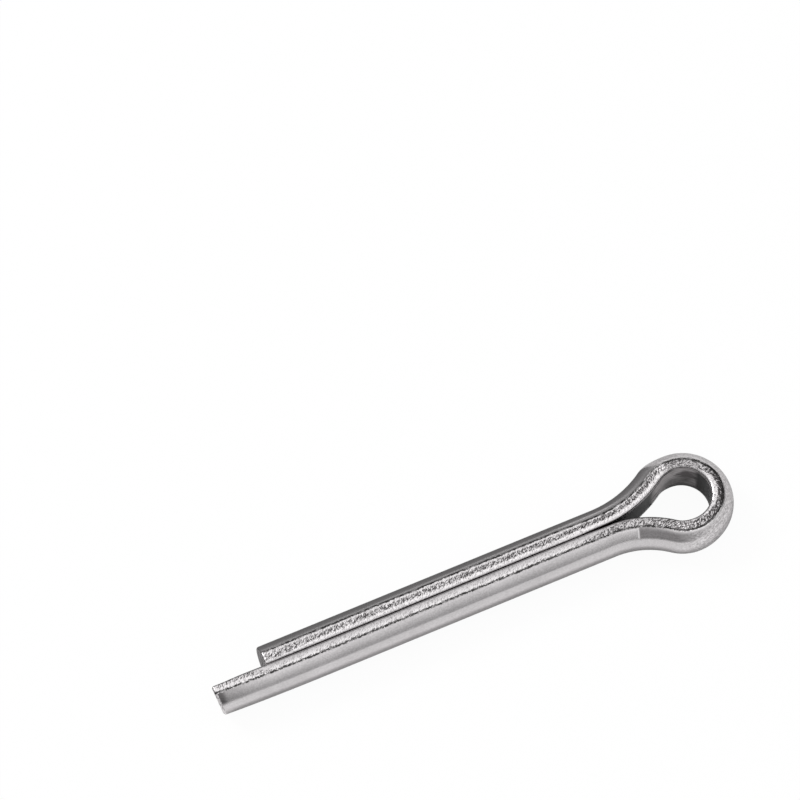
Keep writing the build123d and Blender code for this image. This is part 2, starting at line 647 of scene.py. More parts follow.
@dataclass(frozen=True)
class HalfRoundWire:
    """The wire's section: a flat inner side, two rolled edges and a round outer side, in metres.

    In the section n runs from the flat side outward, and z along the flat. The bent values hold round the
    eye, and the crown ones where the eye is furthest from the legs, whose crease is rolled out broad and
    round. The long leg thins to the bent thickness between two angles round the eye, in degrees from its
    crown.
    """

    thickness: float = 1.81 * MM
    long_leg_thickness: float = 1.745 * MM
    bent_thickness: float = 1.595 * MM
    thinning: Range = (-125.0, -60.0)
    half_height: float = 1.60 * MM
    bent_half_height: float = 1.775 * MM
    rounding: float = 0.18 * MM
    land_bow: float = 0.007 * MM
    crease_half_width: float = 0.1 * MM
    crown_crease_half_width: float = 0.17 * MM
    crown_rollback: float = 0.35
    columns: dict[Zone, int] = field(
        default_factory=lambda: {Zone.FLAT: 4, Zone.ROUNDING: 9, Zone.LAND: 9, Zone.CREASE: 6, Zone.ARC: 13}
    )

    def zones(self) -> list[Zone]:
        """Lists the zone of each of the outline's points, all the way round."""
        half = [zone for zone, count in self.columns.items() for _ in range(count)]
        return [*half, Zone.ARC, *half[:0:-1]]

    def within(self, *zones: Zone) -> np.ndarray:
        """Marks the outline's points that lie in any of some zones."""
        return np.array([zone in zones for zone in self.zones()])

    def over_crease(self, line: tuple[float, ...]) -> np.ndarray:
        """Lays a line of shares over both creases.

        Args:
            line: The shares across the crease, from the land outward.

        Returns:
            The share at each of the outline's points, 0 outside the creases.
        """
        laid = np.zeros(len(self.zones()))
        laid[self.within(Zone.CREASE)] = [*line, *line[::-1]]
        return laid

    def depth(self, rows: Rows) -> np.ndarray:
        """Gives the wire's thickness, from its flat side to its round side.

        Args:
            rows: The mesh's rows.

        Returns:
            A column with the thickness, in metres.
        """
        path, along = rows.path, rows.along
        crown = path.round_eye(0)
        straight = np.where(along < crown, self.long_leg_thickness, self.thickness)
        begins, ends = (path.round_eye(angle) for angle in self.thinning)
        thinned = np.where(along < crown, eased((along - begins) / (ends - begins)), path.bent_share(along))
        return (straight + (self.bent_thickness - straight) * thinned)[:, None]

    def upper_half(
        self, bent: np.ndarray, crown: np.ndarray, depth: np.ndarray, edge: np.ndarray, wander: np.ndarray
    ) -> dict[Zone, tuple[np.ndarray, np.ndarray]]:
        """Lays out the outline's upper half, from the flat's middle to just short of the round side's.

        Args:
            bent: A column with how far the wire has its shape round the eye.
            crown: A column with how far it has the crown's broad crease.
            depth: A column with the wire's thickness.
            edge: A column with the crease's distance from the flat side.
            wander: A column with how far the crease strays outward from there.

        Returns:
            For each zone its n and z.
        """
        flat, turn, across, fold, sweep = (
            np.linspace(0, 1, count, endpoint=False)[None, :] for count in self.columns.values()
        )
        height = self.half_height + (self.bent_half_height - self.half_height) * bent
        half = self.crease_half_width + (self.crown_crease_half_width - self.crease_half_width) * crown
        # The round side is the arc through the crease's corner and the wire's furthest point.
        corner = edge - self.crown_rollback * half * crown
        centre = (depth**2 - corner**2 - height**2) / (2 * (depth - corner))
        radius = depth - centre
        arc_angle = np.arcsin(height / radius) - wander / radius - half / radius
        arc_n, arc_z = centre + radius * np.cos(arc_angle), radius * np.sin(arc_angle)
        land_end = edge + wander - half
        inner = height - self.rounding
        quarter = turn * HALF_TURN / 2
        bow = self.land_bow
        bend_n = (1 - fold) ** 2 * land_end + 2 * fold * (1 - fold) * (corner + wander) + fold**2 * arc_n
        bend_z = (1 - fold**2) * height + fold**2 * arc_z
        angle = arc_angle * (1 - sweep)
        return {
            Zone.FLAT: (0 * inner + 0 * flat, inner * flat),
            Zone.ROUNDING: (
                self.rounding * (1 - np.cos(quarter)) + 0 * inner,
                inner + self.rounding * np.sin(quarter) - bow * turn,
            ),
            Zone.LAND: (
                self.rounding + (land_end - self.rounding) * across,
                height - bow * (2 * across - 1) ** 2,
            ),
            Zone.CREASE: (bend_n, bend_z - bow * (1 - fold)),
            Zone.ARC: (centre + radius * np.cos(angle), radius * np.sin(angle)),
        }


@dataclass(frozen=True)
class JawMark:
    """The flat that a forming jaw pressed into a neck's round side, from the crease down, in metres.

    The flat runs straight from the crease to its foot. At both ends of that line it blends into the round
    side, over a share of the line's length.
    """

    side: Side
    begins: float
    ends: float
    dullness: float
    foot_n: float = 1.49 * MM
    foot_z: float = 1.01 * MM
    step: float = 0.1 * MM
    fade: float = 1.3 * MM
    sink: float = 0.015 * MM
    burr_highlight_width: float = 0.085 * MM
    crease_blend: float = 0.05
    foot_blend: float = 0.12

    def from_neck(self, rows: Rows) -> np.ndarray:
        """Gives a column with each row's distance from where the mark's neck begins, towards the eye."""
        long_start, short_start = rows.path.starts()[[Run.LONG_NECK, Run.SHORT_LEG]]
        return (rows.along - long_start if self.side is Side.LONG else short_start - rows.along)[:, None]

    def share(self, rows: Rows) -> np.ndarray:
        """Gives a column with how far the flat is pressed in, from its step to where it fades out."""
        place = self.from_neck(rows)
        return eased((place - self.begins) / self.step) * eased((self.ends - place) / self.fade)

    def burr_highlight(self, rows: Rows) -> np.ndarray:
        """Gives a column with how near each row is to the painted highlight along the jaw's step, where its
        corner raised a burr.
        """
        return np.exp(-(((self.from_neck(rows) - self.begins - self.step) / self.burr_highlight_width) ** 2))

    def press(
        self, share: np.ndarray, arc_n: np.ndarray, arc_z: np.ndarray
    ) -> tuple[np.ndarray, np.ndarray, np.ndarray]:
        """Presses the flat into one half of the round side.

        Args:
            share: A column with how far the flat is pressed in.
            arc_n: The half's n, from the crease on.
            arc_z: The half's z, above the flat's middle.

        Returns:
            The new n and z, and where they are pressed.
        """
        run_n, run_z = self.foot_n - arc_n[:, :1], self.foot_z - arc_z[:, :1]
        length = np.hypot(run_n, run_z)
        run_n, run_z = run_n / length, run_z / length
        from_n, from_z = arc_n - arc_n[:, :1], arc_z - arc_z[:, :1]
        place = (from_n * run_n + from_z * run_z) / length
        proud = from_z * run_n - from_n * run_z
        inside = share * eased(1 + place / self.crease_blend) * eased((1 - place) / self.foot_blend)
        push = inside * np.clip(proud + self.sink, 0, None)
        return arc_n + push * run_z, arc_z - push * run_n, inside


@dataclass(frozen=True)
class EdgeState:
    """The rolled edges at one place, with three lengths in metres and then shares.

    The lengths are the crease's distance from the flat side, that of the pits' band, and half the band's
    width. The shares say how dense the pits are, which may pass 1, how far the metal is burnished and painted
    with a highlight by the crease and by the flat side, how far the crease's outer lip is rolled up and
    painted with a highlight, and how far the crease is torn.
    """

    crease: float
    middle: float
    reach: float
    density: float
    polish: float
    flat_polish: float
    lip: float
    ragged: float


@dataclass(frozen=True)
class EdgeProfile:
    """How the rolled edges change along the wire.

    A station says where the edges have one of the states: its distance from where a run starts, in metres, or
    for the eye the angle from its crown, in degrees.
    """

    tip: EdgeState = EdgeState(0.71 * MM, 0.22 * MM, 0.16 * MM, 0.7, 0.95, 0.4, 0.0, 0.6)
    leg: EdgeState = EdgeState(0.71 * MM, 0.66 * MM, 0.09 * MM, 0.8, 0.95, 0.0, 0.0, 0.5)
    neck: EdgeState = EdgeState(0.73 * MM, 0.42 * MM, 0.36 * MM, 0.9, 0.5, 0.2, 0.2, 0.6)
    under: EdgeState = EdgeState(0.81 * MM, 0.54 * MM, 0.38 * MM, 1.2, 0.95, 0.75, 1.0, 0.4)
    rise: EdgeState = EdgeState(0.80 * MM, 0.64 * MM, 0.32 * MM, 1.3, 0.6, 0.9, 1.0, 0.0)
    crown: EdgeState = EdgeState(0.80 * MM, 0.71 * MM, 0.30 * MM, 1.4, 0.45, 1.0, 0.0, 0.0)
    over: EdgeState = EdgeState(0.64 * MM, 0.38 * MM, 0.34 * MM, 0.8, 0.15, 0.25, 0.9, 0.2)
    far_neck: EdgeState = EdgeState(0.80 * MM, 0.52 * MM, 0.17 * MM, 1.25, 0.95, 1.0, 0.0, 0.0)
    far_leg: EdgeState = EdgeState(0.87 * MM, 0.48 * MM, 0.18 * MM, 1.12, 0.75, 0.95, 0.0, 0.0)
    far_tip: EdgeState = EdgeState(0.87 * MM, 0.40 * MM, 0.24 * MM, 1.0, 0.75, 0.9, 0.0, 0.0)
    stations: tuple[tuple[Run, float, str], ...] = (
        (Run.LONG_LEG, 2.6 * MM, "tip"),
        (Run.LONG_LEG, 4.6 * MM, "leg"),
        (Run.LONG_NECK, -3.0 * MM, "leg"),
        (Run.LONG_NECK, 2.4 * MM, "neck"),
        (Run.EYE, -92.0, "under"),
        (Run.EYE, -74.0, "under"),
        (Run.EYE, -48.0, "rise"),
        (Run.EYE, -22.0, "crown"),
        (Run.EYE, 8.0, "crown"),
        (Run.EYE, 36.0, "over"),
        (Run.EYE, 92.0, "over"),
        (Run.EYE, 118.0, "far_neck"),
        (Run.SHORT_LEG, 0.6 * MM, "far_neck"),
        (Run.SHORT_LEG, 3.0 * MM, "far_leg"),
        (Run.END, -4.0 * MM, "far_leg"),
        (Run.END, -1.5 * MM, "far_tip"),
    )
    soft: float = 0.1 * MM
    torn: float = 0.07 * MM
    polish_reach: float = 0.72 * MM

    def at(self, rows: Rows) -> dict[str, np.ndarray]:
        """Blends the states along the wire.

        Args:
            rows: The mesh's rows.

        Returns:
            A column for each of a state's values.
        """
        path, starts = rows.path, rows.path.starts()
        places = [
            path.round_eye(offset) if run is Run.EYE else starts[run] + offset
            for run, offset, _ in self.stations
        ]
        states = [getattr(self, name) for _, _, name in self.stations]
        return {
            name: np.interp(rows.along, places, [getattr(state, name) for state in states])[:, None]
            for name in EdgeState.__dataclass_fields__
        }

    def pitted(self, state: dict[str, np.ndarray], n: np.ndarray) -> np.ndarray:
        """Says how far each point of the edges is pitted.

        Args:
            state: The columns of the edges' state.
            n: Each point's distance from the flat side.

        Returns:
            The share at each point, which may pass 1.
        """
        # Both bands end half way through their soft borders.
        band = (state["reach"] - np.abs(n - state["middle"])) / self.soft + 0.5
        beside = (self.torn - np.abs(n - state["crease"] + self.torn)) / self.soft + 0.5
        return np.maximum(state["density"] * eased(band), state["ragged"] * eased(beside))

    def polished(self, state: dict[str, np.ndarray], n: np.ndarray) -> np.ndarray:
        """Says how far each point of the edges is burnished and carries a painted highlight, from the flat
        side to the crease.
        """
        outward = eased(n / self.polish_reach)
        return state["flat_polish"] + (state["polish"] - state["flat_polish"]) * outward


@dataclass
class Surface:
    """The wire's outline at every row: its n and z in metres, and shares.

    Only rolled has no rows: it is 1 for the outline's rolled points, and 0 for the others.
    """

    n: np.ndarray
    z: np.ndarray
    rolled: np.ndarray
    lip: np.ndarray
    shares: dict[str, np.ndarray]


@dataclass
class WireMesh:
    """A mesh in the making.

    It holds the points, their places on the straight wire, the shares that the finishes read, and the faces,
    each with its finish.
    """

    points: np.ndarray
    places: np.ndarray
    shares: dict[str, np.ndarray]
    faces: list[list[int]]
    finishes: list[int]

    def close_end(self, rim: np.ndarray, rings: int, flip: bool) -> None:
        """Closes an end with a sheared face, as rings that shrink to the rim's middle.

        Args:
            rim: The numbers of the rim's points, in order.
            rings: How many rings there are, the last of which is a single point.
            flip: Whether the faces have to be turned over to face outward.
        """
        edge, edge_places, last = self.points[rim], self.places[rim], rim
        middle, middle_place = edge.mean(0), edge_places.mean(0)
        for ring in range(1, rings + 1):
            share, closing, first = 1 - ring / rings, ring == rings, len(self.points)
            count = 1 if closing else len(rim)
            fresh = np.full(len(rim), first) if closing else first + np.arange(len(rim))
            quads = np.stack([last, fresh, np.roll(fresh, -1), np.roll(last, -1)], 1)
            quads = quads[:, ::-1] if flip else quads
            shrunk = (middle + (edge - middle) * share)[:count]
            shrunk_places = (middle_place + (edge_places - middle_place) * share)[:count]
            self.points = np.concatenate([self.points, shrunk])
            self.places = np.concatenate([self.places, shrunk_places])
            self.shares = {name: np.append(values, np.zeros(count)) for name, values in self.shares.items()}
            self.faces += [list(dict.fromkeys(quad)) for quad in quads.tolist()]
            self.finishes += [Finish.SHEARED] * len(rim)
            last = fresh

    def finished(self, name: str) -> bpy.types.Object:
        """Turns it into an object in the scene.

        Args:
            name: The object's name.

        Returns:
            The object, whose mesh has the places and shares as attributes.
        """
        mesh = bpy.data.meshes.new(name)
        mesh.from_pydata(self.points.tolist(), [], self.faces)
        mesh.update()
        mesh.polygons.foreach_set("material_index", np.array(self.finishes, np.int32))
        mesh.polygons.foreach_set("use_smooth", np.ones(len(mesh.polygons), bool))
        place = mesh.attributes.new(WIRE_PLACE, "FLOAT_VECTOR", "POINT")
        place.data.foreach_set("vector", self.places.astype(np.float32).ravel())
        for share, values in self.shares.items():
            mesh.attributes.new(share, "FLOAT", "POINT").data.foreach_set("value", values.astype(np.float32))
        return add_object(name, mesh)


@dataclass
class SplitPin:
    """The whole pin: one bent wire with grainy edges, jaw marks beside the eye and sheared ends.

    Where a field holds six shares, they run across the crease from the land outward. Angles round the eye
    count from its crown, in degrees.
    """

    wire: HalfRoundWire = HalfRoundWire()
    profile: EdgeProfile = EdgeProfile()
    drawn: DrawnRound = DrawnRound()
    flat: RolledFlat = RolledFlat()
    edge: RolledEdge = RolledEdge()
    sheared: ShearedEnd = ShearedEnd()
    # The wire's line.
    overhang: float = 4.09 * MM
    eye_radius: float = 1.95 * MM
    eye_shift: tuple[float, float] = (0.035 * MM, -0.06 * MM)
    half_gap: float = 0.026 * MM
    long_neck_radius: float = 7.5 * MM
    short_neck_radius: float = 9.5 * MM
    # The mesh's rows, and the ends that the shear left, the long leg's first.
    row_step: float = 0.069 * MM
    end_round: tuple[float, float] = (0.2 * MM, 0.12 * MM)
    end_rows: int = 5
    cap_rings: int = 6
    end_slant: float = radians(7.0)
    slant_reach: float = 2.5 * MM
    tip_bend: float = 0.15 * MM
    tip_bend_reach: float = 8.0 * MM
    # Where the flat side is worn back, and what the shear dragged.
    tip_wear: float = 0.1 * MM
    tip_wear_reach: float = 3.0 * MM
    parting_wear: float = 0.045 * MM
    parting_reach: float = 1.8 * MM
    wear_reach: float = 0.35 * MM
    drag_reach: float = 0.8 * MM
    drag_fade: float = 3.2 * MM
    drag_shares: tuple[float, float] = (0.55, 0.45)
    drag_foot: float = 0.92 * MM
    drag_soft: float = 0.12 * MM
    drag_shade: float = 0.55
    # The crease, which is broad round the crown, and its lip. The crease's shares set both its groove and its
    # painted shade; the lip's set both its rise and its painted highlight.
    crown_middle: float = -24.0
    crown_half: float = 62.0
    crown_gain: float = 1.4
    narrow_crease: tuple[float, ...] = (0.25, 0.55, 0.75, 0.85, 0.75, 0.5)
    broad_crease: tuple[float, ...] = (0.35, 0.6, 0.6, 0.55, 0.8, 1.0)
    bent_crease: float = 0.5
    crease_lip: tuple[float, ...] = (0.0, 0.0, 0.0, 0.0, 0.3, 0.8)
    arc_lip: tuple[float, float] = (1.0, 0.35)
    lip_height: float = 0.03 * MM
    # Painted shade, in the wedge between the necks and low inside the eye, stronger round the crown.
    shade_before: float = 1.5 * MM
    shade_reach: float = 1.4 * MM
    shade_edge: float = 3.0
    eye_shade: float = 0.62
    eye_shade_level: float = 0.5
    crown_shade: float = 0.5
    crown_shade_level: float = 0.3
    # How the crease strays, and the relief of the whole surface.
    half_seeds: tuple[float, float] = (3.7, 8.9)
    wander: float = 0.03 * MM
    wander_grain: float = 0.26 * MM
    slow_wander: float = 0.8
    slow_wander_grain: float = 2.6 * MM
    crease_depth: float = 0.012 * MM
    crease_breaks: Ripple = Ripple((0.7 * MM, 3.0 * MM, 9.0 * MM), 90.4)
    crease_levels: tuple[float, float] = (0.75, 0.9)
    peel: Ripple = Ripple((0.26 * MM, 0.2 * MM, 0.3 * MM), 20.3)
    peel_depth: float = 0.007 * MM
    pressed_peel: float = 0.5
    bent_peel: float = 0.35
    swell: Ripple = Ripple((1.3 * MM, 0.8 * MM, 1.5 * MM), 47.1)
    swell_depth: float = 0.012 * MM
    rolled_swell: float = 0.6
    waves: Ripple = Ripple((6.0 * MM, 1.6 * MM, 1.6 * MM), 71.9)
    wave_depth: float = 0.003 * MM

    def path(self) -> PinPath:
        """Lays the wire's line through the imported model's eye and leg tips.

        Returns:
            The line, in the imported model's frame.
        """
        low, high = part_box(CAD_NODE)
        return PinPath(
            eye_x=high.x - high.y + self.eye_shift[0],
            eye_y=self.eye_shift[1],
            eye_radius=self.eye_radius,
            half_gap=self.half_gap,
            long_tip=low.x,
            short_tip=low.x + self.overhang,
            neck_radius={Side.LONG: self.long_neck_radius, Side.SHORT: self.short_neck_radius},
        )

    def jaw_marks(self) -> list[JawMark]:
        """Gives the jaw marks, one on each neck.

        Returns:
            The sharp one on the long leg's neck and the faint one on the short leg's.
        """
        return [
            JawMark(Side.LONG, begins=2.0 * MM, ends=6.3 * MM, dullness=1.0),
            JawMark(Side.SHORT, begins=5.4 * MM, ends=7.8 * MM, dullness=0.25, step=1.2 * MM, sink=0.0),
        ]

    def rows(self) -> Rows:
        """Spaces the mesh's rows along the wire, closer where its ends are rounded.

        Returns:
            The rows.
        """
        path = self.path()
        total = sum(path.lengths())
        long_round, short_round = self.end_round
        turn = np.linspace(0, HALF_TURN / 2, self.end_rows, endpoint=False)
        ends, drawn_in = 1 - np.cos(turn), 1 - np.sin(turn)
        count = round((total - long_round - short_round) / self.row_step) + 1
        middle = np.linspace(long_round, total - short_round, count)
        along = np.concatenate([long_round * ends, middle, total - short_round * ends[::-1]])
        inset = np.concatenate([long_round * drawn_in, np.zeros(count), short_round * drawn_in[::-1]])
        return Rows(path, along, inset)

    def broad(self, rows: Rows) -> np.ndarray:
        """Gives a column with how far the crease is rolled out broad, as it is round the eye's crown."""
        angle = (rows.along - rows.path.round_eye(0)) / rows.path.eye_radius / radians(1)
        return eased(self.crown_gain * (1 - np.abs(angle - self.crown_middle) / self.crown_half))[:, None]

    def half_outline(self, rows: Rows, seed: float) -> tuple[np.ndarray, np.ndarray, np.ndarray]:
        """Works out one half of the wire's outline at every row.

        Args:
            rows: The mesh's rows.
            seed: Tells the two halves' creases apart.

        Returns:
            The half's n, its z above the flat's middle, and where a jaw pressed it.
        """
        spots = np.stack([rows.along, 0 * rows.along, 0 * rows.along], 1)
        fine, slow = Ripple((self.wander_grain,) * 3, seed), Ripple((self.slow_wander_grain,) * 3, 2 * seed)
        wander = (self.wander * (fine.at(spots) + self.slow_wander * slow.at(spots)))[:, None]
        crown, edge = self.broad(rows), self.profile.at(rows)["crease"]
        depth = self.wire.depth(rows)
        parts = self.wire.upper_half(rows.bent(), crown, depth, edge, wander * (1 - crown))
        arc_n, arc_z = parts[Zone.ARC]
        pressed = np.zeros_like(arc_n)
        for mark in self.jaw_marks():
            arc_n, arc_z, fresh = mark.press(mark.share(rows), arc_n, arc_z)
            pressed = np.maximum(pressed, mark.dullness * fresh)
        parts[Zone.ARC] = (arc_n, arc_z)
        n, z = (np.concatenate(halves, 1) for halves in zip(*parts.values()))
        plain = np.zeros((len(n), n.shape[1] - pressed.shape[1]))
        return n, z, np.concatenate([plain, pressed], 1)

    def outline(self, rows: Rows) -> tuple[np.ndarray, np.ndarray, np.ndarray]:
        """Joins the outline's halves and the point between them, and wears the flat side back.

        Args:
            rows: The mesh's rows.

        Returns:
            The outline's n and z, and where a jaw pressed it.
        """
        upper, lower = (self.half_outline(rows, seed) for seed in self.half_seeds)
        tip = self.wire.depth(rows)
        n, z, pressed = (
            np.concatenate([above, between, below[:, :0:-1]], 1)
            for above, between, below in zip(upper, (tip, 0 * tip, 0 * tip), (lower[0], -lower[1], lower[2]))
        )
        n += self.flat_wear(rows) * eased(1 - n / self.wear_reach)
        return n, z, pressed

    def flat_wear(self, rows: Rows) -> np.ndarray:
        """Says how far the flat side is worn back: a little at the long leg's tip and where the legs part.

        Args:
            rows: The mesh's rows.

        Returns:
            A column with the depth, in metres.
        """
        along = rows.along[:, None]
        from_partings = [abs(along - rows.path.starts()[run]) for run in (Run.LONG_NECK, Run.SHORT_LEG)]
        parting = eased(1 - np.minimum(*from_partings) / self.parting_reach)
        return self.tip_wear * eased(1 - along / self.tip_wear_reach) + self.parting_wear * parting

    def dragged(self, rows: Rows, z: np.ndarray) -> np.ndarray:
        """Says how far the shear dragged each point, high on the round side at the long leg's end.

        Args:
            rows: The mesh's rows.
            z: Each point's z.

        Returns:
            The share at each point.
        """
        along = rows.along[:, None]
        near, far = self.drag_shares
        drag = near * eased(2 - 2 * along / self.drag_reach) + far * eased(1 - along / self.drag_fade)
        return drag * eased((z - self.drag_foot) / self.drag_soft)

    def painted_shade(self, rows: Rows, z: np.ndarray, rolled: np.ndarray) -> np.ndarray:
        """Says how far painted shade darkens each point, in the wedge between the necks and low inside the
        eye.

        Args:
            rows: The mesh's rows.
            z: Each point's z.
            rolled: 1 for the outline's rolled points, and 0 for the others.

        Returns:
            The share at each point.
        """
        place, _ = rows.path.at(rows.along)
        parting = place[:, :1] - rows.path.neck_start(Side.LONG) + self.shade_before
        gap = (np.abs(place[:, 1:]) - self.half_gap) / self.shade_reach
        wedge = eased(self.shade_edge * (1 - gap)) * eased(parting / self.shade_before)
        broad = self.broad(rows)
        level = self.eye_shade_level + self.crown_shade_level * broad - z / self.wire.half_height
        inside = self.eye_shade * (1 + self.crown_shade * broad) * eased(level)
        below = self.wire.within(Zone.ROUNDING) * (z < 0)
        return np.maximum(wedge * (1 - rolled), rows.bent() * np.maximum(below, inside))

    def surface(self, rows: Rows) -> Surface:
        """Works out the wire's outline at every row, and the shares that its finishes read there.

        Args:
            rows: The mesh's rows.

        Returns:
            The surface, without its relief.
        """
        n, z, pressed = self.outline(rows)
        bent = np.broadcast_to(rows.bent(), n.shape)
        broad = self.broad(rows)
        state = self.profile.at(rows)
        rolled = self.wire.within(Zone.ROUNDING, Zone.LAND, Zone.CREASE).astype(float)
        lip = self.wire.over_crease(self.crease_lip)
        lip[np.flatnonzero(self.wire.within(Zone.ARC))[[0, 1, -2, -1]]] = [*self.arc_lip, *self.arc_lip[::-1]]
        lip = state["lip"] * lip
        narrow, wide = (self.wire.over_crease(line) for line in (self.narrow_crease, self.broad_crease))
        # The crease's share sets both its groove and its painted shade.
        crease_and_shade = (narrow * (1 - broad) + wide * broad) * (1 - lip)
        crease_and_shade = np.minimum(crease_and_shade * (1 + self.bent_crease * bent * (1 - broad)), 1.0)
        dragged = self.dragged(rows, z) * (1 - rolled)
        # Painted highlight on the burnished edges, on the crease's lip and along the jaw's burr.
        burr_highlight = sum(mark.dullness * mark.burr_highlight(rows) for mark in self.jaw_marks())
        polished = self.profile.polished(state, n) * rolled
        shares = {
            BENT: bent,
            PRESSED: np.maximum(pressed, dragged),
            CREASE_AND_SHADE: np.maximum(crease_and_shade, self.drag_shade * dragged),
            PITTED: self.profile.pitted(state, n) * rolled * (1 - lip),
            POLISH_HIGHLIGHT: np.maximum(polished, np.maximum(lip, pressed * burr_highlight)),
            PAINTED_SHADE: self.painted_shade(rows, z, rolled),
        }
        return Surface(n, z, rolled, lip, shares)

    def relief(self, rows: Rows, surface: Surface) -> np.ndarray:
        """Works out how far each point stands proud of the plain outline.

        Args:
            rows: The mesh's rows.
            surface: The outline and its shares.

        Returns:
            The height of each point, in metres.
        """
        shares, rolled = surface.shares, surface.rolled
        along = np.broadcast_to(rows.along[:, None], surface.n.shape)
        spots = np.stack([along, surface.n, surface.z], 2)
        stretched = np.maximum(shares[PRESSED], self.bent_peel * shares[BENT] * (1 - rolled))
        rough = np.minimum(shares[PITTED], 1.0) + self.pressed_peel * stretched
        level, sway = self.crease_levels
        breaks = level + sway * self.crease_breaks.at(spots)
        return (
            self.peel_depth * self.peel.at(spots) * rough
            + self.swell_depth * self.swell.at(spots) * rolled * self.rolled_swell
            + self.wave_depth * self.waves.at(spots)
            - self.crease_depth * shares[CREASE_AND_SHADE] * rolled * breaks
            + self.lip_height * surface.lip
        )

    def shape_tip(self, body: np.ndarray, along: np.ndarray) -> None:
        """Slants the long leg's sheared end back from its top edge, and bends its tip a little inward.

        Args:
            body: The mesh's points, row by row, which are moved.
            along: Each row's distance from the long leg's tip.
        """
        slanted = np.clip(1 - along / self.slant_reach, 0, 1)[:, None]
        body[..., 0] += slanted * tan(self.end_slant) * (self.wire.half_height - body[..., 2])
        body[..., 1] += self.tip_bend * np.clip(1 - along / self.tip_bend_reach, 0, 1)[:, None] ** 2

    def lay(self, rows: Rows, surface: Surface) -> tuple[np.ndarray, np.ndarray]:
        """Lays the outline along the wire's line, with its relief.

        Args:
            rows: The mesh's rows.
            surface: The outline and its shares.

        Returns:
            The mesh's points, row by row, and their places on the straight wire.
        """
        n, z = surface.n, surface.z
        slope_n, slope_z = (np.roll(values, -1, 1) - np.roll(values, 1, 1) for values in (n, z))
        size = np.hypot(slope_n, slope_z)
        height = self.relief(rows, surface) - rows.inset[:, None]
        n, z = n - slope_z / size * height, z + slope_n / size * height
        point, outward = rows.path.at(rows.along)
        flat = point[:, None, :] + outward[:, None, :] * n[..., None]
        body = np.concatenate([flat, z[..., None]], 2)
        self.shape_tip(body, rows.along)
        return body, np.stack([np.broadcast_to(rows.along[:, None], n.shape), n, z], 2)

    def finishes(self, count: int) -> np.ndarray:
        """Sorts the faces by finish.

        Args:
            count: How many rows of faces there are.

        Returns:
            Each face's finish, row by row.
        """
        order = {Zone.FLAT: Finish.FLAT, Zone.ARC: Finish.DRAWN}
        across = [order.get(zone, Finish.EDGE) for zone in self.wire.zones()]
        sorted_faces = np.tile(across, (count, 1))
        sorted_faces[: self.end_rows, sorted_faces[0] == Finish.DRAWN] = Finish.SHEARED
        return sorted_faces

    def build(self) -> bpy.types.Object:
        """Builds the pin's mesh.

        Returns:
            The pin, as one closed mesh with its attributes and its faces sorted by finish.
        """
        rows = self.rows()
        surface = self.surface(rows)
        body, place = self.lay(rows, surface)
        grid = np.arange(surface.n.size).reshape(surface.n.shape)
        right = np.roll(grid, -1, 1)
        faces = np.stack([grid[:-1], right[:-1], right[1:], grid[1:]], 2)
        mesh = WireMesh(
            points=body.reshape(-1, 3),
            places=place.reshape(-1, 3),
            shares={name: values.reshape(-1) for name, values in surface.shares.items()},
            faces=faces.reshape(-1, 4).tolist(),
            finishes=self.finishes(len(faces)).ravel().tolist(),
        )
        mesh.close_end(grid[0], self.cap_rings, flip=False)
        mesh.close_end(grid[-1], self.cap_rings, flip=True)
        return mesh.finished(PIECE)

    def dress(self, pin: bpy.types.Object) -> None:
        """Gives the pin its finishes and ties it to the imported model.

        Args:
            pin: The pin's mesh.
        """
        for finish in (self.drawn, self.flat, self.edge, self.sheared):
            pin.data.materials.append(finish.material())
        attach(pin, BODY)
        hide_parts(CAD_NODE)


@dataclass(frozen=True)
class Glow:
    """A soft patch of light in the sky: where its middle lies, and how much light it adds there.

    It begins and is full at two cosines of the angle from its middle. One that has a height also fades out
    towards the horizon, between two cosines of the angle from straight up.
    """

    middle: Sizes
    reach: Range
    strength: float
    height: Range | None = None

    def near(
        self, tree: bpy.types.NodeTree, way: bpy.types.NodeSocket, axis: Sizes, reach: Range
    ) -> bpy.types.NodeSocket:
        """Says how nearly a direction points along an axis.

        Args:
            tree: The world's tree.
            way: The direction.
            axis: The axis.
            reach: The cosines of the angle between them that give 0 and 1.

        Returns:
            The share, from 0 to 1.
        """
        aim = tuple(Vector(axis).normalized())
        cosine = add_node(tree, "VectorMath", [way, aim], operation="DOT_PRODUCT")["Value"]
        return add_node(tree, "MapRange", [cosine, *reach], interpolation_type="SMOOTHSTEP")[0]

    def add(
        self, tree: bpy.types.NodeTree, way: bpy.types.NodeSocket, light: Feed
    ) -> bpy.types.NodeSocket:
        """Adds the patch to the sky's light.

        Args:
            tree: The world's tree.
            way: The direction that is looked in.
            light: The light so far.

        Returns:
            The light with the patch.
        """
        share = self.near(tree, way, self.middle, self.reach)
        if self.height:
            above = self.near(tree, way, (0.0, 0.0, 1.0), self.height)
            share = add_node(tree, "Math", [share, above], operation="MULTIPLY")[0]
        return add_node(tree, "Math", [share, self.strength, light], operation="MULTIPLY_ADD")[0]


